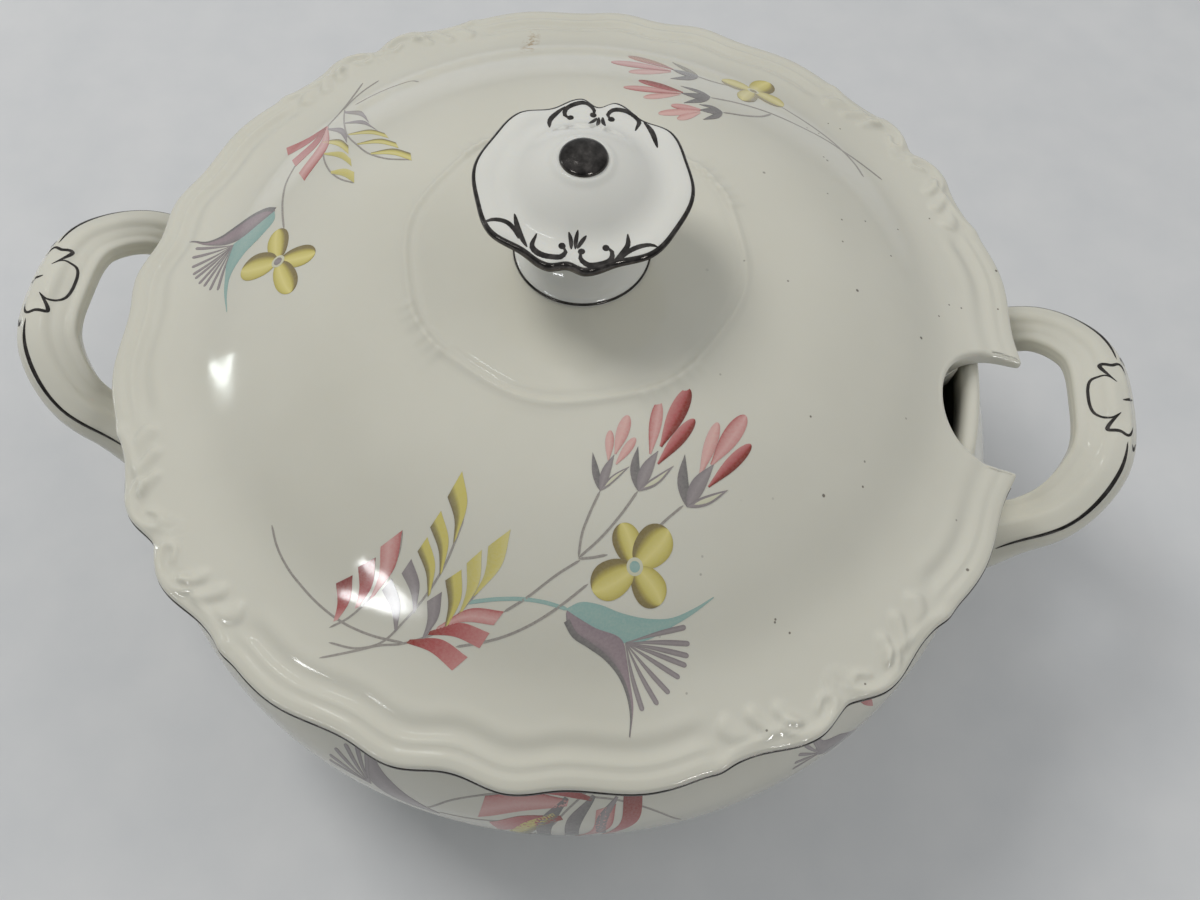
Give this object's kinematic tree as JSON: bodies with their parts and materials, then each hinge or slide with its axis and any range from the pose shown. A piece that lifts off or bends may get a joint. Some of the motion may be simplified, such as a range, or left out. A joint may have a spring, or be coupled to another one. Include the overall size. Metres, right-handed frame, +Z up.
{
  "type": "covered tureen",
  "caption": "Round covered serving tureen in glazed porcelain, with two ear handles and a domed scalloped lid with a ladle notch and a capped knob.",
  "frame": {"origin": "centre of the foot's base, on the table", "axes": "+X runs along the two handles, towards the one beside the lid's notch; +Z up"},
  "size_m": [0.3218, 0.2598, 0.1808],
  "materials": {
    "porcelain": "gloss ivory glaze",
    "platinum": "polished platinum lustre"
  },
  "bodies": {
    "bowl": {"bowl_body": "porcelain", "foot_ring": "porcelain", "handle_left": "porcelain", "handle_right": "porcelain"},
    "lid": {"lid_shell": "porcelain", "lid_flange": "porcelain", "knob_stem": "porcelain", "knob_cap": "porcelain", "knob_button": "platinum"}
  },
  "joints": [
    {"name": "lid_lift", "type": "slide", "parent": "bowl", "child": "lid", "axis": [0, 0, 1], "range_m": [0, 0.15]}
  ]
}
